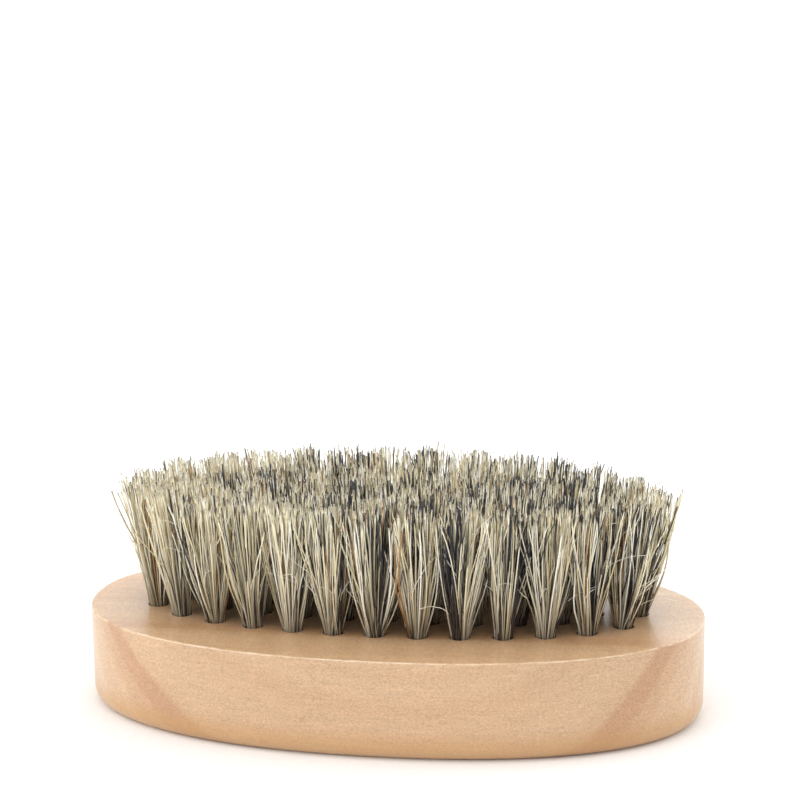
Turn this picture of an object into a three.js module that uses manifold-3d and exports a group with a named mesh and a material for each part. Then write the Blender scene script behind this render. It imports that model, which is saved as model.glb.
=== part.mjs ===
// Oval palm brush for beards: a solid hardwood block with tufts of natural bristle set in blind holes.
// Millimetres. The brush stands on its flat back with the bristles up: X runs along it, Y across it
// and Z up to the bristle tips. The origin is the centre of the flat back face.
import * as THREE from 'three';
import { mergeVertices } from 'three/addons/utils/BufferGeometryUtils.js';
import Module from 'manifold-3d';

// Wooden block
const BLOCK_LENGTH = 95;
const BLOCK_WIDTH = 50;
const BLOCK_THICKNESS = 15.3;
const OVAL_EXPONENT = 2.2; // 2 is a plain ellipse, and more squares its ends off
const OVAL_STEPS = 96; // straight steps round the block's outline
const BACK_ROUNDOVER = 2.4; // radius of the edge round the back
const ROUNDOVER_STEPS = 5;
const FACE_CHAMFER = 0.4; // softened edge round the bristle face

// Blind holes for the tufts
const HOLE_RADIUS = 1.55;
const HOLE_DEPTH = 7;
const HOLE_OVERRUN = 1; // how far the drill's shape stands out of the bristle face
const HOLE_SIDES = 10;

// Bristle tufts
const BRISTLE_HEIGHT = 20; // free length above the wood
const TUFT_SIDES = 10;
const HOLE_GAP = 0.3; // clearance of a tuft's solid to its hole
const ROOT_DEPTH = HOLE_DEPTH - 0.6;
const TUFT_FLARE = [ // share of the free length, and the tuft's radius there
  [0.05, 1.3],
  [0.45, 2.1],
  [1, 2.8],
];
const FAN = 0.05; // how far the tips spread outward, as a share of a hole's distance from the middle

// Rows of tufts: two oval rings, and a straight row along the middle
const RINGS = [ // start is how far the first tuft is past the oval's +X end, as a share of their spacing
  { name: 'tuft_outer', length: 75, width: 26.8, tufts: 27, start: 0.15 },
  { name: 'tuft_inner', length: 61.4, width: 14, tufts: 20, start: 0 },
];
const MIDDLE_ROW = { name: 'tuft_middle', length: 38, tufts: 7 };

const wood = {
  color: 0xe3bd8c,
  roughness: 0.42,
  metalness: 0,
};
const bristle = {
  color: 0xb9ad8b,
  roughness: 0.7,
  metalness: 0,
};

const wasm = await Module();
wasm.setup();

// A superellipse |x/a|^n + |y/b|^n = 1, run through anticlockwise from (a, 0).
class Oval extends THREE.Curve {
  constructor(length, width) {
    super();
    this.half = new THREE.Vector2(length / 2, width / 2);
    this.arcLengthDivisions = 1200;
  }

  getPoint(share, target = new THREE.Vector2()) {
    const angle = 2 * Math.PI * share;
    const c = Math.cos(angle);
    const s = Math.sin(angle);
    const power = 2 / OVAL_EXPONENT;
    return target.set(
      this.half.x * Math.sign(c) * Math.abs(c) ** power,
      this.half.y * Math.sign(s) * Math.abs(s) ** power,
    );
  }
}

// The manifold solid of a closed three.js geometry, without the empty triangles at a lathe's poles.
function toSolid(geometry) {
  const bare = geometry.clone();
  bare.deleteAttribute('normal');
  bare.deleteAttribute('uv');
  const merged = mergeVertices(bare);
  const corners = merged.index.array;
  const triangles = [];
  for (let i = 0; i < corners.length; i += 3) {
    const [a, b, c] = corners.slice(i, i + 3);
    if (a !== b && b !== c && c !== a) triangles.push(a, b, c);
  }
  return new wasm.Manifold(new wasm.Mesh({
    numProp: 3,
    vertProperties: new Float32Array(merged.attributes.position.array),
    triVerts: new Uint32Array(triangles),
  }));
}

// The three.js geometry of a manifold solid.
function toGeometry(solid) {
  const mesh = solid.getMesh();
  const geometry = new THREE.BufferGeometry();
  geometry.setAttribute('position', new THREE.BufferAttribute(mesh.vertProperties, 3));
  geometry.setIndex(new THREE.BufferAttribute(mesh.triVerts, 1));
  geometry.computeVertexNormals();
  return geometry;
}

// A piece turned about +Z from a profile of [radius, height] points.
function turned(profile, sides) {
  const points = profile.map(([radius, height]) => new THREE.Vector2(radius, height));
  return new THREE.LatheGeometry(points, sides).rotateX(Math.PI / 2);
}

// The block before drilling: a round turned body whose every vertex keeps its height and its inset
// from the rim, while its turn round the axis becomes the same share of the way round the oval.
function blockBlank() {
  const radius = BLOCK_WIDTH / 2;
  const profile = [[0, 0]];
  for (let i = 0; i <= ROUNDOVER_STEPS; i += 1) {
    const angle = (i / ROUNDOVER_STEPS) * (Math.PI / 2);
    profile.push([
      radius - BACK_ROUNDOVER * (1 - Math.sin(angle)),
      BACK_ROUNDOVER * (1 - Math.cos(angle)),
    ]);
  }
  profile.push([radius, BLOCK_THICKNESS - FACE_CHAMFER]);
  profile.push([radius - FACE_CHAMFER, BLOCK_THICKNESS]);
  profile.push([0, BLOCK_THICKNESS]);

  const geometry = turned(profile, OVAL_STEPS);
  const outline = new Oval(BLOCK_LENGTH, BLOCK_WIDTH);
  const places = geometry.attributes.position;
  for (let i = 0; i < places.count; i += 1) {
    const reach = Math.hypot(places.getX(i), places.getY(i));
    if (reach < 1e-6) continue;
    const turn = Math.atan2(places.getY(i), places.getX(i)) / (2 * Math.PI);
    const step = Math.round(turn * OVAL_STEPS + OVAL_STEPS) % OVAL_STEPS;
    const rim = outline.getPointAt(step / OVAL_STEPS);
    const along = outline.getTangentAt(step / OVAL_STEPS);
    const inset = radius - reach;
    places.setXY(i, rim.x - inset * along.y, rim.y + inset * along.x);
  }
  return geometry;
}

// Moves a shape that stands at the origin to a hole's mouth, and leans it outward by the fan.
function atHole(geometry, place) {
  const lean = place.clone().multiplyScalar(FAN / BRISTLE_HEIGHT);
  return geometry
    .applyMatrix4(new THREE.Matrix4().makeShear(0, 0, 0, 0, lean.x, lean.y))
    .translate(place.x, place.y, BLOCK_THICKNESS);
}

function drill(place) {
  const height = HOLE_DEPTH + HOLE_OVERRUN;
  const shape = new THREE.CylinderGeometry(HOLE_RADIUS, HOLE_RADIUS, height, HOLE_SIDES)
    .rotateX(Math.PI / 2)
    .translate(0, 0, HOLE_OVERRUN - height / 2);
  return toSolid(atHole(shape, place));
}

function tuft(place) {
  const root = HOLE_RADIUS - HOLE_GAP;
  const profile = [[0, -ROOT_DEPTH], [root, -ROOT_DEPTH]];
  for (const [share, radius] of TUFT_FLARE) profile.push([radius, share * BRISTLE_HEIGHT]);
  profile.push([0, BRISTLE_HEIGHT]);
  return toGeometry(toSolid(atHole(turned(profile, TUFT_SIDES), place)));
}

function named(name, geometry, finish) {
  const mesh = new THREE.Mesh(geometry, new THREE.MeshStandardMaterial(finish));
  mesh.name = name;
  return mesh;
}

// Every hole's name and place on the bristle face.
function tuftPlaces() {
  const places = [];
  const add = (row, index, point) => {
    places.push({ name: `${row}_${String(index + 1).padStart(2, '0')}`, point });
  };
  for (const ring of RINGS) {
    const outline = new Oval(ring.length, ring.width);
    for (let i = 0; i < ring.tufts; i += 1) {
      add(ring.name, i, outline.getPointAt((i + ring.start) / ring.tufts));
    }
  }
  const pitch = MIDDLE_ROW.length / (MIDDLE_ROW.tufts - 1);
  for (let i = 0; i < MIDDLE_ROW.tufts; i += 1) {
    add(MIDDLE_ROW.name, i, new THREE.Vector2(i * pitch - MIDDLE_ROW.length / 2, 0));
  }
  return places;
}

const brush = new THREE.Group();
let block = toSolid(blockBlank());
for (const { name, point } of tuftPlaces()) {
  block = block.subtract(drill(point));
  brush.add(named(name, tuft(point), bristle));
}
brush.add(named('wood_block', toGeometry(block), wood));

export default brush;
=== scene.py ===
import bmesh
import bpy
import numpy as np
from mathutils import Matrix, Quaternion, Vector
from mathutils.geometry import delaunay_2d_cdt


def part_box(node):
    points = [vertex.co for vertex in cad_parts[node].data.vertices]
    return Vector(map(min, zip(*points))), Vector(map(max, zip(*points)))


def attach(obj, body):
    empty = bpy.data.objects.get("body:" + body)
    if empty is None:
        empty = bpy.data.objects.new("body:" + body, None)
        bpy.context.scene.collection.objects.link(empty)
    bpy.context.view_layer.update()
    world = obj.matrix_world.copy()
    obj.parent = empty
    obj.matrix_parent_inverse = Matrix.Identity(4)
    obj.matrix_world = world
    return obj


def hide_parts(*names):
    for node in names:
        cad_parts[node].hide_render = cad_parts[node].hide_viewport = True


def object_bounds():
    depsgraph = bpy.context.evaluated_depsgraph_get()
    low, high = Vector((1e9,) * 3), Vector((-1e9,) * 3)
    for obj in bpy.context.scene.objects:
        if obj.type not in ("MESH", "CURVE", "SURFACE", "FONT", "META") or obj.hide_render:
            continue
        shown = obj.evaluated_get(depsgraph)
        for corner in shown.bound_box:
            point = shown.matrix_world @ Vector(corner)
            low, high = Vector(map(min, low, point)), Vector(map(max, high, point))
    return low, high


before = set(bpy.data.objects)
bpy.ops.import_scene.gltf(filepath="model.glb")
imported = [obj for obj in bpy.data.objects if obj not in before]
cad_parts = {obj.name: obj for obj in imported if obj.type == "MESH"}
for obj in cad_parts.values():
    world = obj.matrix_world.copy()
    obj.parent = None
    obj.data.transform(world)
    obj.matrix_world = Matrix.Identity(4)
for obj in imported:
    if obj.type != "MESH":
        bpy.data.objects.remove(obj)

# Oval beard brush: a lacquered hardwood block, and tufts of mixed bristle folded over wire anchors.
# It stands on its flat back. Sizes in the dictionaries are in millimetres.

mm = 0.001
cadLow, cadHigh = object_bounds()
blockLow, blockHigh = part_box("wood_block")
faceHeight = blockHigh.z / mm
bristleHeight = cadHigh.z / mm - faceHeight


# "#rrggbb" as linear light: a channel c is c/12.92 up to 0.04045, and ((c + 0.055)/1.055)^2.4 above it
def hexToLinear(code):
    channels = [int(code[i:i + 2], 16) / 255 for i in (1, 3, 5)]
    return tuple(c / 12.92 if c <= 0.04045 else ((c + 0.055) / 1.055) ** 2.4 for c in channels) + (1,)


# One node with its settings and links. An input is another node's socket or a value, and its key is the
# input's name, or i0 for the first.
def addNode(tree, kind, settings=None, **inputs):
    node = tree.nodes.new("ShaderNode" + kind)
    for key, value in (settings or {}).items():
        setattr(node, key, value)
    for key, value in inputs.items():
        socket = node.inputs[int(key[1:])] if key[1:].isdigit() else node.inputs[key.replace("_", " ")]
        if isinstance(value, bpy.types.NodeSocket):
            tree.links.new(value, socket)
        else:
            socket.default_value = value
    return node


# A ramp's stops, as (position, hex colour) pairs. Between two stops the colour is a straight mix.
def setStops(ramp, stops):
    elements = ramp.color_ramp.elements
    while len(elements) < len(stops):
        elements.new(0.5)
    for element, (position, code) in zip(elements, stops):
        element.position = position
        element.color = hexToLinear(code)
    return ramp.outputs["Color"]


# an empty material and its node tree
def newMaterial(name):
    material = bpy.data.materials.new(name)
    material.use_nodes = True
    material.node_tree.nodes.clear()
    return material, material.node_tree


# each vector over its own length
def unit(vectors):
    return vectors / np.maximum(np.linalg.norm(vectors, axis=-1, keepdims=True), 1e-12)


# Quads of a grid whose columns close on themselves: corner (i, j) is point first + i * columns + j, and
# the last column joins the first.
def ringQuads(rows, columns, first=0):
    row, column = np.meshgrid(np.arange(rows - 1), np.arange(columns), indexing="ij")
    after = (column + 1) % columns
    corners = [row * columns + column, row * columns + after,
               (row + 1) * columns + after, (row + 1) * columns + column]
    return first + np.stack(corners, axis=-1).reshape(-1, 4)


# A piece that rides on the brush. Points are in mm, faces are arrays of faces of one size each, and an
# attribute is a float for each point.
def makePiece(name, points, faces, material, attributes=None):
    mesh = bpy.data.meshes.new(name)
    mesh.vertices.add(len(points))
    mesh.vertices.foreach_set("co", (np.asarray(points) * mm).astype(np.float32).ravel())
    sides = np.concatenate([np.full(len(part), part.shape[1]) for part in faces])
    corners = np.concatenate([part.ravel() for part in faces])
    mesh.loops.add(len(corners))
    mesh.loops.foreach_set("vertex_index", corners.astype(np.int32))
    mesh.polygons.add(len(sides))
    mesh.polygons.foreach_set("loop_start", (np.cumsum(sides) - sides).astype(np.int32))
    for key, values in (attributes or {}).items():
        layer = mesh.attributes.new(key, "FLOAT", "POINT")
        layer.data.foreach_set("value", np.asarray(values, np.float32).ravel())
    mesh.update(calc_edges=True)
    mesh.shade_smooth()
    mesh.materials.append(material)
    piece = bpy.data.objects.new(name, mesh)
    bpy.context.scene.collection.objects.link(piece)
    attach(piece, "root")
    return piece


# merges points in one place, which closes seams and poles
def weld(piece, reach=0.002):
    work = bmesh.new()
    work.from_mesh(piece.data)
    bmesh.ops.remove_doubles(work, verts=work.verts, dist=reach * mm)
    work.to_mesh(piece.data)
    work.free()


camera = {
    "azimuth": 9.54,               # degrees round to the right
    "elevation": 13.59,            # degrees above the horizon
    "roll": -0.65,
    "distance": 332.4,
    "target": (1.27, 0.0, 47.9),   # above the brush, so that it fills the lower half
    "lens": 99.3,
    "sensor": 36,                  # its width
    "clip": (10, 50000),
}


# The eye is back from its target along (sin a cos e, -cos a cos e, sin e), for azimuth a and elevation e,
# and is turned about that line by the roll.
def makeCamera():
    azimuth, elevation, roll = np.radians([camera[key] for key in ("azimuth", "elevation", "roll")])
    back = Vector((np.sin(azimuth) * np.cos(elevation), -np.cos(azimuth) * np.cos(elevation),
                   np.sin(elevation)))
    data = bpy.data.cameras.new("studioCamera")
    data.lens = camera["lens"]
    data.sensor_width = camera["sensor"]
    data.clip_start, data.clip_end = [length * mm for length in camera["clip"]]
    eye = bpy.data.objects.new("studioCamera", data)
    eye.location = (Vector(camera["target"]) + back * camera["distance"]) * mm
    eye.rotation_mode = "QUATERNION"
    eye.rotation_quaternion = Quaternion(back, roll) @ (-back).to_track_quat("-Z", "Y")
    bpy.context.scene.collection.objects.link(eye)
    bpy.context.scene.camera = eye


makeCamera()
print("camera ready")


# Where a tuft sits: the line through its CAD solid's middles at the foot and at the tips meets the
# bristle face at the hole's mouth, and lean is how far that line moves per mm of height.
def tuftSeat(node):
    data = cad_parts[node].data
    points = np.empty(len(data.vertices) * 3, np.float32)
    data.vertices.foreach_get("co", points)
    points = points.reshape(-1, 3) / mm
    level = points[:, 2]
    foot, tip = [(ring.min(0) + ring.max(0)) / 2
                 for ring in (points[level < level.min() + 0.01], points[level > level.max() - 0.01])]
    lean = (tip - foot)[:2] / (tip - foot)[2]
    return {"node": node, "row": node.split("_")[1], "mouth": foot[:2] + lean * (faceHeight - foot[2]),
            "lean": lean}


seats = [tuftSeat(node) for node in sorted(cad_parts) if node.startswith("tuft_")]


blockShape = {
    "exponent": 2.2,        # of the oval |x/a|^n + |y/b|^n = 1
    "outlineSteps": 288,
    "finding": 16385,       # points of the oval from which the even ones are found
    "flatRows": (0, 0.1, 0.25, 0.4, 0.55, 0.7, 0.82, 0.91, 0.96, 0.985),   # shares of the way out
    "roundover": 2.6,       # radius of the cutter round the back
    "roundoverStart": 16,   # degrees of that arc left out, which leaves a crisp line round the flat
    "roundoverRows": 13,
    "sideRows": 21,
    "faceEdge": 0.22,       # sanded edge round the bristle face
    "faceEdgeRows": 6,
    "burnishAndGlowRise": 3,       # burnish and painted glow are full after 1/3 of the round-over
    "burnishAndGlowFade": 5,       # and gone after 1/5 of the side
    "innerRing": 0.3,       # how far in from the face's edge its extra ring of points is
    "collar": 1.28,         # size of an extra ring round each mouth, beside the mouth's
    "paintedShadeEnd": 1.2,      # how far out the painted shade between the tufts ends, as a share of the field of tufts
    "paintedShadeFade": 0.34,    # and over what share it fades before that
    "holeRadius": 1.55,
    "holeDepth": 7.0,
    "holeTip": 0.5,         # the drill's point below that
    "holeEdge": 0.12,       # softened mouth of each hole
    "holeEdgeRows": 4,
    "holeRows": (1.5, 4),   # depths of the wall's rings between its ends
    "holeSteps": 28,
    "drilledFrom": 0.05,    # depth at which a hole's colour starts
}

lacqueredBeech = {
    "summerWood": "#BA8F6A",
    "springWood": "#C9A581",
    "paleLine": "#D0B28E",
    "ringStops": (0.36, 0.5, 0.58, 0.66),   # summer wood, spring wood twice, and the pale line
    # tints of places, and how strongly each is laid over the wood's own colour
    "openFace": ("#D9AE7A", 0.25),   # the bristle face, which was sanded last and took up more lacquer
    "burnishAndGlow": ("#B98A4E", 0.55),    # round the back: lacquer that the cut wood took up, with a painted amber glow along the bottom edge
    "paintedShadeBetweenTufts": ("#5A4232", 0.5),   # painted shade on the face between the tufts, where the tufts' shade falls
    "tornEdgeAndHighlight": ("#EBD3B4", None),   # torn fibres and a painted highlight along the edge of the bristle face, by tearOut's pattern
    "drilled": ("#9A734A", 0.8),     # the walls of the holes
    "pith": (0.0, 62.0, -26.0),      # a point of the growth rings' axis, behind and below the block
    "axisTurn": (0.0, -1.5, 2.0),    # degrees that axis is off the block's length
    "yearSpacing": 6.0,
    "yearShift": 8.35,               # which years the block was cut from
    # a pattern's cells are mm along the grain, across and up, and its strength comes after them
    "wander": ((55, 30, 30), 3.0),   # rings stray by up to 3 mm
    "cloud": ((30, 10, 10), 0.18),
    # these four are drawn coarser than real fibre and pores, which would be too fine to show
    "fibre": ((6, 1.1, 0.34), 0.3),
    "speckle": ((0.3, 0.9, 0.2), 0.92),
    "pore": ((1.3, 0.6, 0.16), 0.07),
    "tearOut": ((1.6, 1.6, 0.3), 0.65),
    "poreStops": (0.66, 0.78),       # the noise at which a pore starts, and at which it is full
    "tearStops": (0.36, 0.6),
    "roughness": (0.38, 0.5),
    "lacquer": (0.7, 0.28),          # coat weight and roughness
    "grainRelief": 0.018,
}


# Points of the oval at even steps of its own length, with its outward normals, which lie along
# (sign(x) |x|^(n-1) / a^n, sign(y) |y|^(n-1) / b^n).
def ovalRim():
    a, b = blockHigh.x / mm, blockHigh.y / mm
    n = blockShape["exponent"]
    angle = np.linspace(0, 2 * np.pi, blockShape["finding"])
    x = a * np.sign(np.cos(angle)) * np.abs(np.cos(angle)) ** (2 / n)
    y = b * np.sign(np.sin(angle)) * np.abs(np.sin(angle)) ** (2 / n)
    run = np.concatenate([[0], np.cumsum(np.hypot(np.diff(x), np.diff(y)))])
    even = np.arange(blockShape["outlineSteps"]) / blockShape["outlineSteps"] * run[-1]
    rim = np.stack([np.interp(even, run, x), np.interp(even, run, y)], axis=-1)
    normal = np.sign(rim) * np.abs(rim) ** (n - 1) / np.array([a, b]) ** n
    return rim, unit(normal)


# The block's section, from the middle of its back to the edge of its bristle face. A row is its inset
# from the rim, its height, its share of the way out from the middle, and how much burnish and painted
# glow it has, or -1 on that edge, where torn fibres and a painted highlight go. The round-over is an arc
# with inset r (1 - sin w) and height r (cos w0 - cos w), from its first angle w0 up to 90 degrees.
def blockProfile():
    shape = blockShape
    cutter, start = shape["roundover"], np.radians(shape["roundoverStart"])
    inset = cutter * (1 - np.sin(start))
    rows = [(inset, 0, share, 0) for share in shape["flatRows"]]
    for share in np.linspace(0, 1, shape["roundoverRows"]):
        angle = start + share * (np.pi / 2 - start)
        rows.append((cutter * (1 - np.sin(angle)), cutter * (np.cos(start) - np.cos(angle)), 1,
                     min(1, shape["burnishAndGlowRise"] * share)))
    edge = shape["faceEdge"]
    for share in np.linspace(0, 1, shape["sideRows"])[1:]:
        height = cutter * np.cos(start) * (1 - share) + (faceHeight - edge) * share
        rows.append((0, height, 1, max(0, 1 - shape["burnishAndGlowFade"] * share)))
    for angle in np.linspace(0, np.pi / 2, shape["faceEdgeRows"])[1:]:
        rows.append((edge * (1 - np.cos(angle)), faceHeight - edge * (1 - np.sin(angle)), 1, -1))
    return np.array(rows)


# Rings of a hole, from its softened mouth down its wall to the drill's point. The ring at depth d has
# its centre at the mouth moved by -d times the lean. Its radius is the hole's, but e (1 - sin w) more at
# depth e (1 - cos w) of the mouth's soft edge e, and 0 at the drill's point.
def holeRings(seat):
    shape = blockShape
    radius, soft, deep = shape["holeRadius"], shape["holeEdge"], shape["holeDepth"]
    steps = np.linspace(0, np.pi / 2, shape["holeEdgeRows"])
    wall = [*shape["holeRows"], deep]
    depth = np.concatenate([soft * (1 - np.cos(steps)), wall, [deep + shape["holeTip"]]])
    reach = np.concatenate([radius + soft * (1 - np.sin(steps)), [radius] * len(wall), [0]])
    angle = np.arange(shape["holeSteps"]) / shape["holeSteps"] * 2 * np.pi
    centre = seat["mouth"] - depth[:, None] * seat["lean"]
    rings = np.empty((len(depth), len(angle), 3))
    rings[..., 0] = centre[:, :1] + reach[:, None] * np.cos(angle)
    rings[..., 1] = centre[:, 1:] + reach[:, None] * np.sin(angle)
    rings[..., 2] = faceHeight - depth[:, None]
    return rings


# Triangles of the flat bristle face: the Delaunay triangles of its edge, a ring inside that, the holes'
# mouths and a collar round each, less those whose middle is inside a mouth.
def bristleFace(edge, inner, mouths):
    nearly = 0.995    # of the mouth's radius, since its sides are straight
    collars = [mouth.mean(0) + (mouth - mouth.mean(0)) * blockShape["collar"] for mouth in mouths]
    spots = np.concatenate([edge, inner, *mouths, *collars])
    loops, first = [], 0
    for ring in [edge, inner, *mouths]:
        index = first + np.arange(len(ring))
        loops += list(zip(index.tolist(), np.roll(index, -1).tolist()))
        first += len(ring)
    points, _, triangles, _, _, _ = delaunay_2d_cdt([Vector(p) for p in spots], loops, [], 0, 1e-6)
    points = np.array(points)
    triangles = np.array(triangles)
    middle = points[triangles].mean(1)
    hole = np.array([mouth.mean(0) for mouth in mouths])
    reach = np.linalg.norm(mouths[0] - hole[0], axis=1).min()
    gap = np.linalg.norm(middle[:, None] - hole[None], axis=2).min(1)
    return points, triangles[gap > reach * nearly]


# The block: its section is carried round the rim, where a point is (rim - inset * normal) * share at
# its row's height, and the bristle face closes it. With x and y over those of the outermost mouths, a
# point of the bristle face gets painted shade (end - (|x|^n + |y|^n)^(1/n)) / fade, for the tufts' shade.
def makeBlock(material):
    shape = blockShape
    rim, normal = ovalRim()
    profile = blockProfile()
    inset, height, share, edge = profile.T
    body = np.empty((len(profile), len(rim), 3))
    body[..., :2] = (rim[None] - inset[:, None, None] * normal[None]) * share[:, None, None]
    body[..., 2] = height[:, None]
    inner = rim - (inset[-1] + shape["innerRing"]) * normal
    holes = np.array([holeRings(seat) for seat in seats])
    flat, triangles = bristleFace(body[-1, :, :2], inner, list(holes[:, 0, :, :2]))
    flat = np.column_stack([flat, np.full(len(flat), faceHeight)])
    points = np.concatenate([body.reshape(-1, 3), flat, holes.reshape(-1, 3)])
    triangles = triangles + len(body) * len(rim)
    first = len(body) * len(rim) + len(flat)
    count, rows, columns = holes.shape[:3]
    walls = [ringQuads(rows, columns, first + i * rows * columns) for i in range(count)]

    # a value for each point of the body, of the flat face and of the holes
    bodySize, holesSize = body[..., 0].size, holes[..., 0].size
    rest = np.zeros(len(flat) + holesSize)
    # darker amber round the back: burnish, with a painted glow along the bottom edge
    burnishAndGlow = np.concatenate([np.repeat(np.clip(edge, 0, 1), len(rim)), rest])
    # pale edge of the bristle face: torn fibres and a painted highlight
    tornEdgeAndHighlight = np.concatenate([np.repeat(np.clip(-edge, 0, 1), len(rim)), rest])
    openFace = np.concatenate([np.zeros(bodySize), np.ones(len(flat)), np.zeros(holesSize)])
    deep = (holes[..., 2] < faceHeight - shape["drilledFrom"]).ravel()
    drilled = np.concatenate([np.zeros(bodySize + len(flat)), deep * 1.0])
    field = np.abs([seat["mouth"] for seat in seats]).max(0)
    n = shape["exponent"]
    out = (np.abs(points[:, :2] / field) ** n).sum(1) ** (1 / n)
    # painted shade on the bristle face between the tufts, fading out past the outermost mouths
    paintedShadeBetweenTufts = np.clip((shape["paintedShadeEnd"] - out) / shape["paintedShadeFade"], 0, 1) * openFace
    faces = [ringQuads(*body.shape[:2]), *walls, triangles]
    piece = makePiece("woodBlock", points, faces, material,
                      {"burnishAndGlow": burnishAndGlow, "tornEdgeAndHighlight": tornEdgeAndHighlight, "openFace": openFace,
                       "paintedShadeBetweenTufts": paintedShadeBetweenTufts, "drilled": drilled})
    weld(piece)
    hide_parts("wood_block")


# Beech, sanded and dipped in clear satin lacquer: the eye gets quiet growth rings that run along the
# brush, short straight fibre and pores, a soft sheen, and a warmer line where the round-over took up
# more lacquer, with a painted glow on it. Painted shade lies between the tufts, and a painted highlight
# with torn fibres along the edge of the bristle face.
def woodMaterial():
    look = lacqueredBeech
    material, tree = newMaterial("lacqueredBeech")
    place = addNode(tree, "TexCoord").outputs["Object"]

    # noise whose cells have the given sizes
    def pattern(name, detail=2.0):
        cells = Vector(look[name][0]) * mm
        cell = addNode(tree, "Mapping", {"vector_type": "TEXTURE"}, Vector=place, Scale=cells).outputs[0]
        return addNode(tree, "TexNoise", Vector=cell, Scale=1.0, Detail=detail, Roughness=0.55)

    # distance from the rings' axis, in years
    drift = pattern("wander", 1.0).outputs["Color"]
    shift = Vector(look["pith"]) * mm
    reach = look["wander"][1] * mm
    bent = addNode(tree, "VectorMath", {"operation": "MULTIPLY_ADD"}, i0=drift, i1=(0, reach, reach),
                   i2=place)
    turned = addNode(tree, "Mapping", {"vector_type": "TEXTURE"}, Vector=bent.outputs[0], Location=shift,
                     Rotation=[np.radians(turn) for turn in look["axisTurn"]],
                     Scale=[look["yearSpacing"] * mm] * 3).outputs[0]
    across = addNode(tree, "VectorMath", {"operation": "MULTIPLY"}, i0=turned, i1=(0, 1, 1)).outputs[0]
    years = addNode(tree, "VectorMath", {"operation": "LENGTH"}, i0=across).outputs["Value"]
    years = addNode(tree, "Math", {"operation": "ADD"}, i0=years, i1=look["yearShift"]).outputs[0]
    band = addNode(tree, "TexNoise", {"noise_dimensions": "1D"}, W=years, Scale=1.0, Detail=2.0,
                   Roughness=0.5).outputs["Fac"]
    woods = [look["summerWood"], look["springWood"], look["springWood"], look["paleLine"]]
    ring = setStops(addNode(tree, "ValToRGB", Fac=band), list(zip(look["ringStops"], woods)))

    # noise between two stops, from nothing to the given top
    def spots(noise, stops, top):
        return addNode(tree, "MapRange", Value=noise.outputs["Fac"], From_Min=stops[0], From_Max=stops[1],
                       To_Max=top).outputs[0]

    # brightness: 1, plus each pattern less a half times its strength, less the pores
    shade = 1.0
    for name, detail in [("cloud", 2.0), ("fibre", 3.0), ("speckle", 2.0)]:
        strength = look[name][1]
        noise = pattern(name, detail).outputs["Fac"]
        level = addNode(tree, "Math", {"operation": "MULTIPLY_ADD"}, i0=noise, i1=strength, i2=-strength / 2)
        shade = addNode(tree, "Math", {"operation": "ADD"}, i0=level.outputs[0], i1=shade).outputs[0]
    pore = spots(pattern("pore", 0.0), look["poreStops"], -look["pore"][1])
    shade = addNode(tree, "Math", {"operation": "ADD"}, i0=pore, i1=shade).outputs[0]
    colour = addNode(tree, "VectorMath", {"operation": "SCALE"}, i0=ring, Scale=shade).outputs[0]
    tear = spots(pattern("tearOut"), look["tearStops"], look["tearOut"][1])

    # each place's tint over that; painted shade, a painted highlight and a painted glow are among them
    for key in ("openFace", "burnishAndGlow", "paintedShadeBetweenTufts", "tornEdgeAndHighlight", "drilled"):
        tint, amount = look[key]
        mask = addNode(tree, "Attribute", {"attribute_name": key}).outputs["Fac"]
        mask = addNode(tree, "Math", {"operation": "MULTIPLY"}, i0=mask,
                       i1=tear if key == "tornEdgeAndHighlight" else amount).outputs[0]
        colour = addNode(tree, "Mix", {"data_type": "RGBA", "blend_type": "MIX"}, i0=mask, i6=colour,
                         i7=hexToLinear(tint)).outputs[2]

    smooth, dull = look["roughness"]
    rough = addNode(tree, "MapRange", Value=pattern("cloud").outputs["Fac"], To_Min=smooth,
                    To_Max=dull).outputs[0]
    relief = addNode(tree, "Bump", Strength=1.0, Distance=look["grainRelief"] * mm, Height=shade).outputs[0]
    coat, coatRoughness = look["lacquer"]
    gloss = addNode(tree, "BsdfPrincipled", Base_Color=colour, Roughness=rough, IOR=1.5, Normal=relief,
                    Coat_Weight=coat, Coat_Roughness=coatRoughness, Coat_IOR=1.5)
    addNode(tree, "OutputMaterial", Surface=gloss.outputs[0])
    return material


makeBlock(woodMaterial())
print("wooden block ready")


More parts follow.
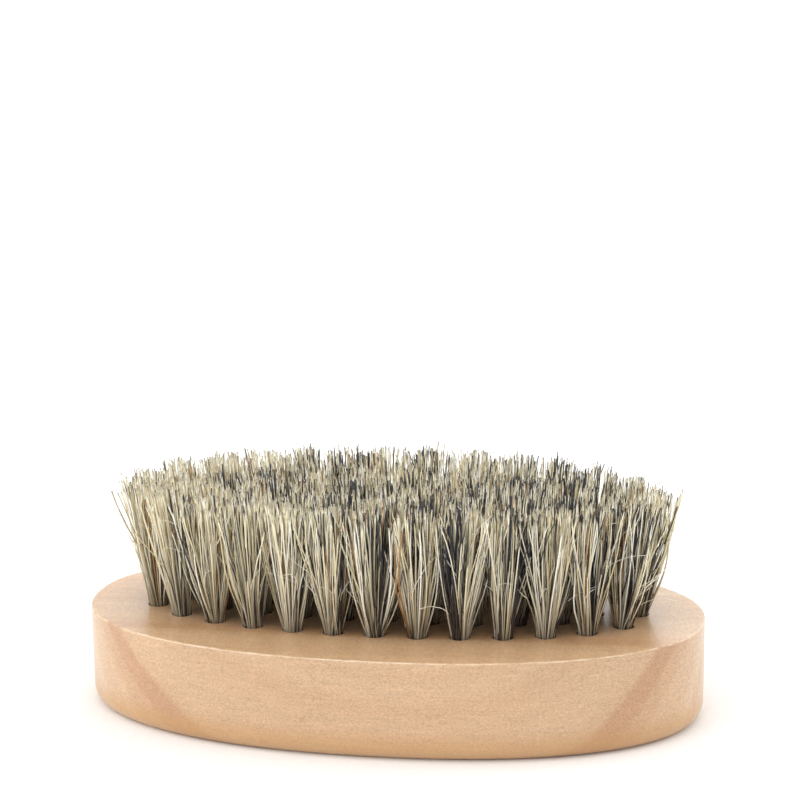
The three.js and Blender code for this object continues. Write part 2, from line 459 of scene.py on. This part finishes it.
tuftShape = {
    "hairs": 72,                    # each folded in half, so a tuft shows twice as many ends
    "hairRadius": (0.085, 0.165),
    "tipTaper": 0.75,               # share of a hair's radius left at its tip
    "sides": 4,
    "levels": (-0.26, 0.0, 0.1, 0.22, 0.36, 0.52, 0.7, 0.86, 1.0),  # shares of the free length
    # in the hole
    "rootRadius": 1.4,              # of the bundle where it leaves the hole
    "rootShift": 0.04,              # spread of the hairs' places there, as a share of that
    "goldenAngle": 2.39996,         # radians from one hair's place to the next
    "wallGap": 0.06,                # least gap between a bristle and the wall of its hole
    "plateGap": 0.32,               # from the hole's middle to the bristles beside the anchor
    "plateSqueeze": 0.6,            # share of a bristle's own distance across that is added to that
    "foldDepth": 6.4,
    "foldRound": 0.3,               # how much higher a fold is beside its lowest point
    "foldUneven": (-0.25, 0.15),    # how far from that height it can be
    "foldLevel": -0.3,              # its share of the free length
    # where the tips go
    "tipRadius": 4.6,               # of the bundle at its trimmed tips
    "fan": (0.75, 1.12),            # least and most share of that way out for a hair
    "scatter": 0.75,                # spread of the tips, in mm
    "lobes": (3, 0.6),              # the few parts that a tuft splits into, and how strongly they part
    "clumps": (12, 0.5),            # bristles that cling together, and how strongly
    "clumpReach": 0.9,              # how far out lobes and clumps can be, as a share of the tips' radius
    "clumpShift": 1.0,              # spread of their places, in mm
    "cling": (0.3, 1.0),            # least and most share of that strength for a hair
    "edgeGap": 3.3,                 # how far in from the block's ends and sides the tips should be
    "edgeHold": 0.8,                # share of what is past that which is taken back
    # how long the bristles are
    "trim": 0.4,                    # how far most tips are below the longest
    "dome": 2.4,                    # how far a bundle's outer tips are below those in its middle
    "domeEnd": 1.4,                 # how far out that goes on, as a share of the tips' radius
    "uneven": 0.28,                 # spread of the trimmed lengths
    "clumpUneven": 0.2,
    "rearRise": 1.6,                # how much longer the tufts along the far side were left
    "rearZone": (6, 13),            # how far back the mouths are where that sets in, and where it is full
    "shorter": (0.26, 0.5, 6.0),    # share of the ends that are shorter, and by how much
    # how they go up
    "power": (0.85, 1.4),           # over 1 a bristle leaves the wood upright before it fans out
    "bend": (0.4, 1.1),             # share of the free length above which a bristle turns upright
    "wave": 0.2,
    "wavePhase": 6.28,              # radians, a full turn
    "waveTurn": (3, 9),             # radians of that wave in the free length
    "kink": 0.6,                    # spread of the tips from a turn part way up
    "kinkEnd": 1.4,                 # the most, as a share of that spread
    "kinkLevel": 0.5,               # highest share of the free length at which they turn
    "kinkPower": 1.2,
    "strays": 0.18,                 # share of ends that cross their neighbours
    "strayReach": 2.0,              # spread of their tips from that turn
}

splinterShape = {
    "count": 12,                    # split fibres that curl off a tuft
    "steps": 9,
    "length": (4.0, 10.0),
    "radius": (0.07, 0.03),         # at its root and its tip
    "thickness": (0.8, 1.3),        # least and most share of that radius
    "levels": (3, 7),               # which of a hair's levels they leave from
    "outward": (0.1, 0.6),          # how much they head out beside up
    "sideways": 0.25,
    "curl": 0.09,                   # radians per step
    "curlShift": 0.05,
    "wander": 0.07,
}

mixedBristle = {
    "black": "#24232A",
    "brown": "#A0723C",
    "khaki": "#A29474",
    "blond": "#E3D6B3",
    "cream": "#FAF2DA",
    "white": "#FFFBEC",
    "toneStops": (0.0, 0.17, 0.22, 0.42, 0.62, 0.8, 1.0),   # black twice, and then the others in turn
    "paleTone": (0.69, 0.16, 0.42, 1),                      # mean, spread, least and most
    "darkTone": (0.0, 0.16),
    "darkShare": (0.06, 0.30),      # of the dark bristles, least and most
    "darkZone": (-0.8, 0.2),        # where it starts to grow and stops, in shares of half the block
    "darkRest": (0.4, 1.1),         # least and most of that share away from a tuft's dark patch
    "darkPatch": 3.5,               # how many times that share is added in the middle of the patch
    "patchPlace": 0.8,              # how far a patch can be from the middle, as a share of the root's radius
    "patchArea": 0.18,              # in such shares squared
    "brownTone": (0.2, 0.27),
    "brownShare": 0.025,
    "splinterTone": 0.8,
    "splinterAlong": 0.8,           # as if that far up a bristle, so it has no cut end
    "paintedRootShade": "#40301F",              # painted shade among the roots, where the tufts shade themselves
    # how much painted root shade, and up to what share of the free length
    "paintedRootShading": {"outer": (0.72, 0.6), "inner": (0.88, 0.75), "middle": (0.88, 0.75)},
    "paintedRootShadePower": 1.5,
    "paintedEndShade": 0.5,                  # painted shade at the cut ends: how bright they are beside the rest
    "paintedEndShadeStops": (0.96, 0.99),
    "blotch": (0.25, 0.25, 2.5),    # mm across and up, coarser than real scales, which are too fine to show
    "blotchShade": (0.88, 1.1),
    "roughness": (0.36, 0.5),
    "clear": (0.5, 0.3),            # how much light goes in, and how many mm deep
    "depthByColour": (1.0, 0.9, 0.7),
    "relief": 0.01,
}


# Closed tubes along n paths of k points each. A ring's corner is the path's point plus
# r (cos w s + sin w t), where s is across the path and t is across both.
def tubes(paths, radii, across):
    ahead = unit(np.gradient(paths, axis=1))
    side = unit(np.cross(ahead, across[:, None]))
    third = np.cross(ahead, side)
    turn = (np.arange(tuftShape["sides"]) + 0.5) / tuftShape["sides"] * 2 * np.pi
    points = (paths[:, :, None] + radii[:, :, None, None] *
              (np.cos(turn)[:, None] * side[:, :, None] + np.sin(turn)[:, None] * third[:, :, None]))
    count, rows, columns = points.shape[:3]
    walls = ringQuads(rows, columns)
    caps = np.array([np.arange(columns)[::-1], (rows - 1) * columns + np.arange(columns)])
    one = np.concatenate([walls, caps])
    quads = (one[None] + np.arange(count)[:, None, None] * rows * columns).reshape(-1, columns)
    return points.reshape(-1, 3), quads


# One end of each hair from the anchor up. At the share u of its free length, and with t = u / b, it has
# gone u^p ((1 + b^-6) / (1 + t^6))^(1/6) of the way to its tip: for p over 1 it leaves the wood upright
# and then fans out, and it turns upright again above its bend b. A wave w u sin(a + c u) is added, and
# from its kink k up it strays by r ((u - k) / (1 - k))^q. Its height is u times its length, and it
# leans with its tuft.
def hairEnds(seat, spot, rng):
    shape, count = tuftShape, len(spot)
    start = spot * shape["rootRadius"]
    room = blockShape["holeRadius"] - shape["hairRadius"][1] - shape["wallGap"]
    start /= np.maximum(np.linalg.norm(start, axis=1, keepdims=True) / room, 1)
    tip = spot * shape["tipRadius"] * rng.uniform(*shape["fan"], (count, 1))
    tip += rng.normal(0, shape["scatter"], (count, 2))
    for groups, cling in (shape["lobes"], shape["clumps"]):
        centres = rng.uniform(-1, 1, (groups, 2))
        member = np.linalg.norm(spot[:, None] - centres[None], axis=2).argmin(1)
        pull = centres * shape["tipRadius"] * shape["clumpReach"]
        pull += rng.normal(0, shape["clumpShift"], centres.shape)
        tip += (pull[member] - tip) * cling * rng.uniform(*shape["cling"], (count, 1))
    bend = rng.uniform(*shape["bend"], (count, 1, 1))
    power = rng.uniform(*shape["power"], (count, 1, 1))

    out = np.linalg.norm(tip, axis=1) / shape["tipRadius"]
    length = bristleHeight - shape["trim"] - shape["dome"] * np.minimum(out, shape["domeEnd"]) ** 2
    near, far = shape["rearZone"]
    length += shape["rearRise"] * np.clip((seat["mouth"][1] - near) / (far - near), 0, 1)
    length += rng.normal(0, shape["uneven"], count) + rng.normal(0, shape["clumpUneven"], groups)[member]
    share, least, most = shape["shorter"]
    short = rng.random(count) < share
    length[short] -= rng.uniform(least, most, short.sum())

    level = np.array(shape["levels"])
    up = np.clip(level, 0, 1)[None, :, None]
    gone = up ** power * ((1 + bend ** -6) / (1 + (up / bend) ** 6)) ** (1 / 6)
    swing = rng.normal(0, shape["wave"], (count, 1, 2))
    phase = rng.uniform(0, shape["wavePhase"], (count, 1, 2))
    wave = swing * np.sin(phase + up * rng.uniform(*shape["waveTurn"], (count, 1, 1))) * up
    stray = (rng.random(count) < shape["strays"])[:, None, None]
    kink = rng.uniform(0, shape["kinkLevel"], (count, 1, 1))
    reach = np.clip(rng.normal(0, 1, (count, 1, 2)), -shape["kinkEnd"], shape["kinkEnd"])
    reach = reach * np.where(stray, shape["strayReach"], shape["kink"])
    astray = reach * np.clip((up - kink) / (1 - kink), 0, 1) ** shape["kinkPower"]
    plan = start[:, None] + (tip - start)[:, None] * gone + wave + astray

    # in the hole the hairs stay to their own side of the anchor
    below = level < 0
    side = start[:, None, 1]
    plan[:, below, 1] = np.sign(side) * (shape["plateGap"] + np.abs(side) * shape["plateSqueeze"])
    height = level[None] * length[:, None]
    height[:, below] = level[below] * bristleHeight
    plan += seat["mouth"] + height[..., None] * seat["lean"]
    most = np.array(blockHigh.xy) / mm - shape["edgeGap"]
    plan -= np.sign(plan) * np.maximum(np.abs(plan) - most, 0) * shape["edgeHold"]
    return np.concatenate([plan, (faceHeight + height)[..., None]], axis=2)


# Split fibres that leave a bristle part way up. Each heads up and outward along h. At the angle w about
# a line a across h its direction is h cos w + (a x h) sin w. The angle grows by a steady curl, chance
# is added to it and to the direction, and the steps add up to the path.
def splinterPaths(ends, rng):
    shape = splinterShape
    count, steps = shape["count"], shape["steps"]
    host = rng.integers(0, len(ends), count)
    level = rng.integers(*shape["levels"], count)
    origin = ends[host, level]
    along = unit(ends[host, level + 1] - origin)
    middle = ends[:, shape["levels"][0], :2].mean(0)
    outward = unit(origin[:, :2] - middle) * rng.uniform(*shape["outward"], (count, 1))
    outward = outward + rng.normal(0, shape["sideways"], (count, 2))
    heading = unit(along + np.column_stack([outward, np.zeros(count)]))
    axis = unit(np.cross(heading, rng.normal(0, 1, (count, 3))))
    angle = rng.normal(0, shape["curl"], count)[:, None] * np.arange(steps)
    angle = angle + np.cumsum(rng.normal(0, shape["curlShift"], (count, steps)), axis=1)
    cosine, sine = np.cos(angle)[..., None], np.sin(angle)[..., None]
    ahead = heading[:, None] * cosine + np.cross(axis, heading)[:, None] * sine
    ahead = unit(ahead + np.cumsum(rng.normal(0, shape["wander"], (count, steps, 3)), axis=1))
    stride = rng.uniform(*shape["length"], count)[:, None, None] / steps
    return origin[:, None] + np.cumsum(ahead * stride, axis=1) - ahead[:, :1] * stride


# A tone for each hair, from 0 for black to 1 for white. At distance d from its tuft's dark patch a hair
# is dark with the chance share * (rest + patch * exp(-d^2 / area)).
def hairTones(seat, spot, rng):
    look, count = mixedBristle, len(spot)
    patch = rng.uniform(-look["patchPlace"], look["patchPlace"], 2)
    closeness = np.exp(-((spot - patch) ** 2).sum(1) / look["patchArea"])
    palest, darkest = look["darkShare"]
    low, high = look["darkZone"]
    place = (seat["mouth"][0] / blockHigh.x * mm - low) / (high - low)
    share = palest + (darkest - palest) * np.clip(place, 0, 1)
    chance = rng.random(count)
    dark = chance < share * rng.uniform(*look["darkRest"]) + look["darkPatch"] * share * closeness
    mean, spread, least, most = look["paleTone"]
    tone = np.clip(rng.normal(mean, spread, count), least, most)
    tone[dark] = rng.uniform(*look["darkTone"], dark.sum())
    brown = rng.random(count) < look["brownShare"]
    tone[brown] = rng.uniform(*look["brownTone"], brown.sum())
    return tone


# A tuft: the k-th of n ends starts at radius sqrt((k + 1/2) / n) and k + 1/2 golden angles round. Each
# end on the near side of the anchor is joined by a fold under it to one on the far side. At the share u
# of the free length, painted root shade is d (1 - u / e)^q.
def makeTuft(seat, material, rng):
    shape, look = tuftShape, mixedBristle
    count = shape["hairs"]
    index = np.arange(2 * count) + 0.5
    reach = np.sqrt(index / (2 * count))
    angle = index * shape["goldenAngle"] + rng.uniform(0, 2 * np.pi)
    spot = np.column_stack([reach * np.cos(angle), reach * np.sin(angle)])
    spot = spot + rng.normal(0, shape["rootShift"], spot.shape)
    spot = spot[np.argsort(spot[:, 1])]
    near, far = spot[:count], spot[count:]
    near, far = near[np.argsort(near[:, 0])], far[np.argsort(far[:, 0])]
    nearEnds, farEnds = hairEnds(seat, near, rng), hairEnds(seat, far, rng)

    # the fold has a point at a fifth, a half and four fifths of the way across
    first, last = nearEnds[:, 0], farEnds[:, 0]
    fold = np.stack([first * 0.8 + last * 0.2, (first + last) / 2, first * 0.2 + last * 0.8], axis=1)
    dip = faceHeight - shape["foldDepth"]
    shoulder = dip + shape["foldRound"]
    fold[..., 2] = [[shoulder, dip, shoulder]] + rng.uniform(*shape["foldUneven"], (count, 1))
    paths = np.concatenate([nearEnds[:, ::-1], fold, farEnds], axis=1)
    levels = np.array(shape["levels"])
    along = np.concatenate([levels[::-1], [shape["foldLevel"]] * 3, levels])
    thick = rng.uniform(*shape["hairRadius"], (count, 1))
    radii = thick * (1 - (1 - shape["tipTaper"]) * np.clip(along, 0, 1))[None]
    points, quads = tubes(paths, radii, np.tile([1.0, 0.0, 0.0], (count, 1)))

    tones = np.repeat(hairTones(seat, near, rng), len(along) * shape["sides"])
    alongs = np.tile(np.repeat(along, shape["sides"]), count)
    # painted shade at the roots, deeper in the inner tufts, where they shade each other
    strength, end = look["paintedRootShading"][seat["row"]]
    paintedRootShade = strength * (1 - np.clip(alongs / end, 0, 1)) ** look["paintedRootShadePower"]

    splinters = splinterPaths(np.concatenate([nearEnds, farEnds]), rng)
    thin = np.linspace(*splinterShape["radius"], splinterShape["steps"])[None]
    thin = thin * rng.uniform(*splinterShape["thickness"], (len(splinters), 1))
    morePoints, moreQuads = tubes(splinters, thin, unit(rng.normal(0, 1, (len(splinters), 3))))
    tones = np.concatenate([tones, np.full(len(morePoints), look["splinterTone"])])
    alongs = np.concatenate([alongs, np.full(len(morePoints), look["splinterAlong"])])
    paintedRootShade = np.concatenate([paintedRootShade, np.zeros(len(morePoints))])
    piece = makePiece("bristles_" + seat["node"], np.concatenate([points, morePoints]),
                      [np.concatenate([quads, moreQuads + len(points)])], material,
                      {"tone": tones, "along": alongs, "paintedRootShade": paintedRootShade})
    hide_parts(seat["node"])


# Boar and plant bristle, washed, mixed and trimmed: the eye gets smooth, slightly clear hairs, each of
# one colour with faint blotches along it, with painted shade near the wood and at its cut end.
def bristleMaterial():
    look = mixedBristle
    material, tree = newMaterial("mixedBristle")
    tone = addNode(tree, "Attribute", {"attribute_name": "tone"}).outputs["Fac"]
    hues = [look[key] for key in ("black", "black", "brown", "khaki", "blond", "cream", "white")]
    colour = setStops(addNode(tree, "ValToRGB", Fac=tone), list(zip(look["toneStops"], hues)))
    place = addNode(tree, "TexCoord").outputs["Object"]
    cell = addNode(tree, "Mapping", {"vector_type": "TEXTURE"}, Vector=place,
                   Scale=Vector(look["blotch"]) * mm).outputs[0]
    blotch = addNode(tree, "TexNoise", Vector=cell, Scale=1.0, Detail=3.0).outputs["Fac"]
    along = addNode(tree, "Attribute", {"attribute_name": "along"}).outputs["Fac"]
    # painted shade at the cut ends
    starts, full = look["paintedEndShadeStops"]
    end = addNode(tree, "MapRange", Value=along, From_Min=starts, From_Max=full, To_Min=1.0,
                  To_Max=look["paintedEndShade"]).outputs[0]
    darkest, brightest = look["blotchShade"]
    shade = addNode(tree, "MapRange", Value=blotch, From_Min=0.25, From_Max=0.75, To_Min=darkest,
                    To_Max=brightest).outputs[0]
    shade = addNode(tree, "Math", {"operation": "MULTIPLY"}, i0=shade, i1=end).outputs[0]
    colour = addNode(tree, "VectorMath", {"operation": "SCALE"}, i0=colour, Scale=shade).outputs[0]
    # painted root shade mixed in
    paintedRootShade = addNode(tree, "Attribute", {"attribute_name": "paintedRootShade"}).outputs["Fac"]
    colour = addNode(tree, "Mix", {"data_type": "RGBA", "blend_type": "MIX"}, i0=paintedRootShade, i6=colour,
                     i7=hexToLinear(look["paintedRootShade"])).outputs[2]
    smooth, dull = look["roughness"]
    rough = addNode(tree, "MapRange", Value=blotch, To_Min=smooth, To_Max=dull).outputs[0]
    relief = addNode(tree, "Bump", Strength=0.5, Distance=look["relief"] * mm, Height=blotch).outputs[0]
    inward, depth = look["clear"]
    gloss = addNode(tree, "BsdfPrincipled", Base_Color=colour, Roughness=rough, IOR=1.55, Normal=relief,
                    Subsurface_Weight=inward, Subsurface_Radius=look["depthByColour"],
                    Subsurface_Scale=depth * mm)
    addNode(tree, "OutputMaterial", Surface=gloss.outputs[0])
    return material


firstSeed = 4100    # each tuft has its own
bristle = bristleMaterial()
for number, seat in enumerate(seats):
    makeTuft(seat, bristle, np.random.default_rng(firstSeed + number))
print(len(seats), "tufts ready")


anchorShape = {
    "width": 3.06,       # across the hole, which it nearly fills
    "height": 1.6,
    "thickness": 0.35,
    "depth": 5.0,        # of its middle below the bristle face
    "corner": 0.4,       # 1 is a full ellipse, and less squares it off
    "edge": 0.3,
    "steps": (24, 10),   # round it, and from face to face
    "weld": 0.0005,
}

drawnSteel = {
    "bright": "#C9C6C0",
    "dull": "#A39F98",
    "drawMark": (3.0, 0.06, 0.06),   # mm along, across and up, coarser than the die's own lines
    "roughness": (0.28, 0.42),
    "relief": 0.004,
}


# A cut piece of flat wire as a superellipsoid: with u round it and v from face to face, a point is
# (a cos(u)^e cos(v)^f, b sin(v)^f, c sin(u)^e cos(v)^f), where each power keeps its sign.
def makeAnchor(seat, material):
    shape = anchorShape
    around, across = shape["steps"]
    u = np.arange(around) / around * 2 * np.pi
    v = np.linspace(np.pi / 2, -np.pi / 2, across + 1)[:, None]

    def power(value, exponent):
        return np.sign(value) * np.abs(value) ** exponent

    girth = power(np.cos(v), shape["edge"])
    x = shape["width"] / 2 * power(np.cos(u), shape["corner"]) * girth
    y = shape["thickness"] / 2 * power(np.sin(v), shape["edge"]) * np.ones_like(x)
    z = shape["height"] / 2 * power(np.sin(u), shape["corner"]) * girth - shape["depth"]
    points = np.stack([x + seat["mouth"][0] + z * seat["lean"][0],
                       y + seat["mouth"][1] + z * seat["lean"][1], z + faceHeight], axis=-1)
    piece = makePiece("anchor_" + seat["node"], points.reshape(-1, 3), [ringQuads(*points.shape[:2])],
                      material)
    weld(piece, shape["weld"])


# Mild steel, cold-drawn as flat wire and cut to length: the eye gets bright metal with lines along it.
def anchorMaterial():
    look = drawnSteel
    material, tree = newMaterial("drawnSteel")
    place = addNode(tree, "TexCoord").outputs["Object"]
    cell = addNode(tree, "Mapping", {"vector_type": "TEXTURE"}, Vector=place,
                   Scale=Vector(look["drawMark"]) * mm).outputs[0]
    mark = addNode(tree, "TexNoise", Vector=cell, Scale=1.0, Detail=2.0).outputs["Fac"]
    colour = setStops(addNode(tree, "ValToRGB", Fac=mark), [(0.35, look["dull"]), (0.65, look["bright"])])
    smooth, dull = look["roughness"]
    rough = addNode(tree, "MapRange", Value=mark, To_Min=smooth, To_Max=dull).outputs[0]
    relief = addNode(tree, "Bump", Strength=0.6, Distance=look["relief"] * mm, Height=mark).outputs[0]
    metal = addNode(tree, "BsdfPrincipled", Base_Color=colour, Metallic=1.0, Roughness=rough, Normal=relief)
    addNode(tree, "OutputMaterial", Surface=metal.outputs[0])
    return material


steel = anchorMaterial()
for seat in seats:
    makeAnchor(seat, steel)
print(len(seats), "anchors ready")


studio = {
    "floor": 6.0,              # metres from its middle to a side
    "paper": ("#F4F3F1", "#F8F7F6"),
    "fleck": 900.0,            # flecks in a metre, coarser than paper's own, which are too fine to show
    "paperRoughness": 0.9,
    "backdrop": "#FFFFFF",
    "glow": 0.72,              # strength of the even white light all round
    # name, degrees round to the right of the front, degrees up, width in degrees, strength
    "lamps": [
        ("leftSoftbox", -66, 26, 60, 1.25),
        ("rightSoftbox", 122, 20, 45, 0.9),
        ("rearSoftbox", 176, 28, 50, 0.5),
        ("topSoftbox", 0, 76, 90, 1.2),
    ],
}


# Matt paper under the brush, which gives the eye an even pale floor, large soft lamps far away, and an
# even white surround. A lamp at azimuth a and elevation e shines from the direction
# (sin a cos e, -cos a cos e, sin e).
def makeStage():
    material, tree = newMaterial("mattPaper")
    place = addNode(tree, "TexCoord").outputs["Object"]
    fleck = addNode(tree, "TexNoise", Vector=place, Scale=studio["fleck"], Detail=2.0).outputs["Fac"]
    dull, bright = studio["paper"]
    tint = setStops(addNode(tree, "ValToRGB", Fac=fleck), [(0.3, dull), (0.7, bright)])
    paper = addNode(tree, "BsdfPrincipled", Base_Color=tint, Roughness=studio["paperRoughness"])
    addNode(tree, "OutputMaterial", Surface=paper.outputs[0])
    mesh = bpy.data.meshes.new("floor")
    far = studio["floor"]
    mesh.from_pydata([(-far, -far, 0), (far, -far, 0), (far, far, 0), (-far, far, 0)], [], [(0, 1, 2, 3)])
    mesh.materials.append(material)
    floor = bpy.data.objects.new("floor", mesh)
    bpy.context.scene.collection.objects.link(floor)
    for name, azimuth, elevation, width, strength in studio["lamps"]:
        light = bpy.data.lights.new(name, "SUN")
        light.angle = np.radians(width)
        light.energy = strength
        lamp = bpy.data.objects.new(name, light)
        turn, rise = np.radians([azimuth, elevation])
        toward = Vector((np.sin(turn) * np.cos(rise), -np.cos(turn) * np.cos(rise), np.sin(rise)))
        lamp.location = toward
        lamp.rotation_mode = "QUATERNION"
        lamp.rotation_quaternion = (-toward).to_track_quat("-Z", "Y")
        bpy.context.scene.collection.objects.link(lamp)
    world = bpy.data.worlds.new("studioWorld")
    world.use_nodes = True
    surround = world.node_tree.nodes["Background"]
    surround.inputs["Color"].default_value = hexToLinear(studio["backdrop"])
    surround.inputs["Strength"].default_value = studio["glow"]
    bpy.context.scene.world = world
    bpy.context.scene.view_settings.view_transform = "Standard"


makeStage()
print("stage ready")
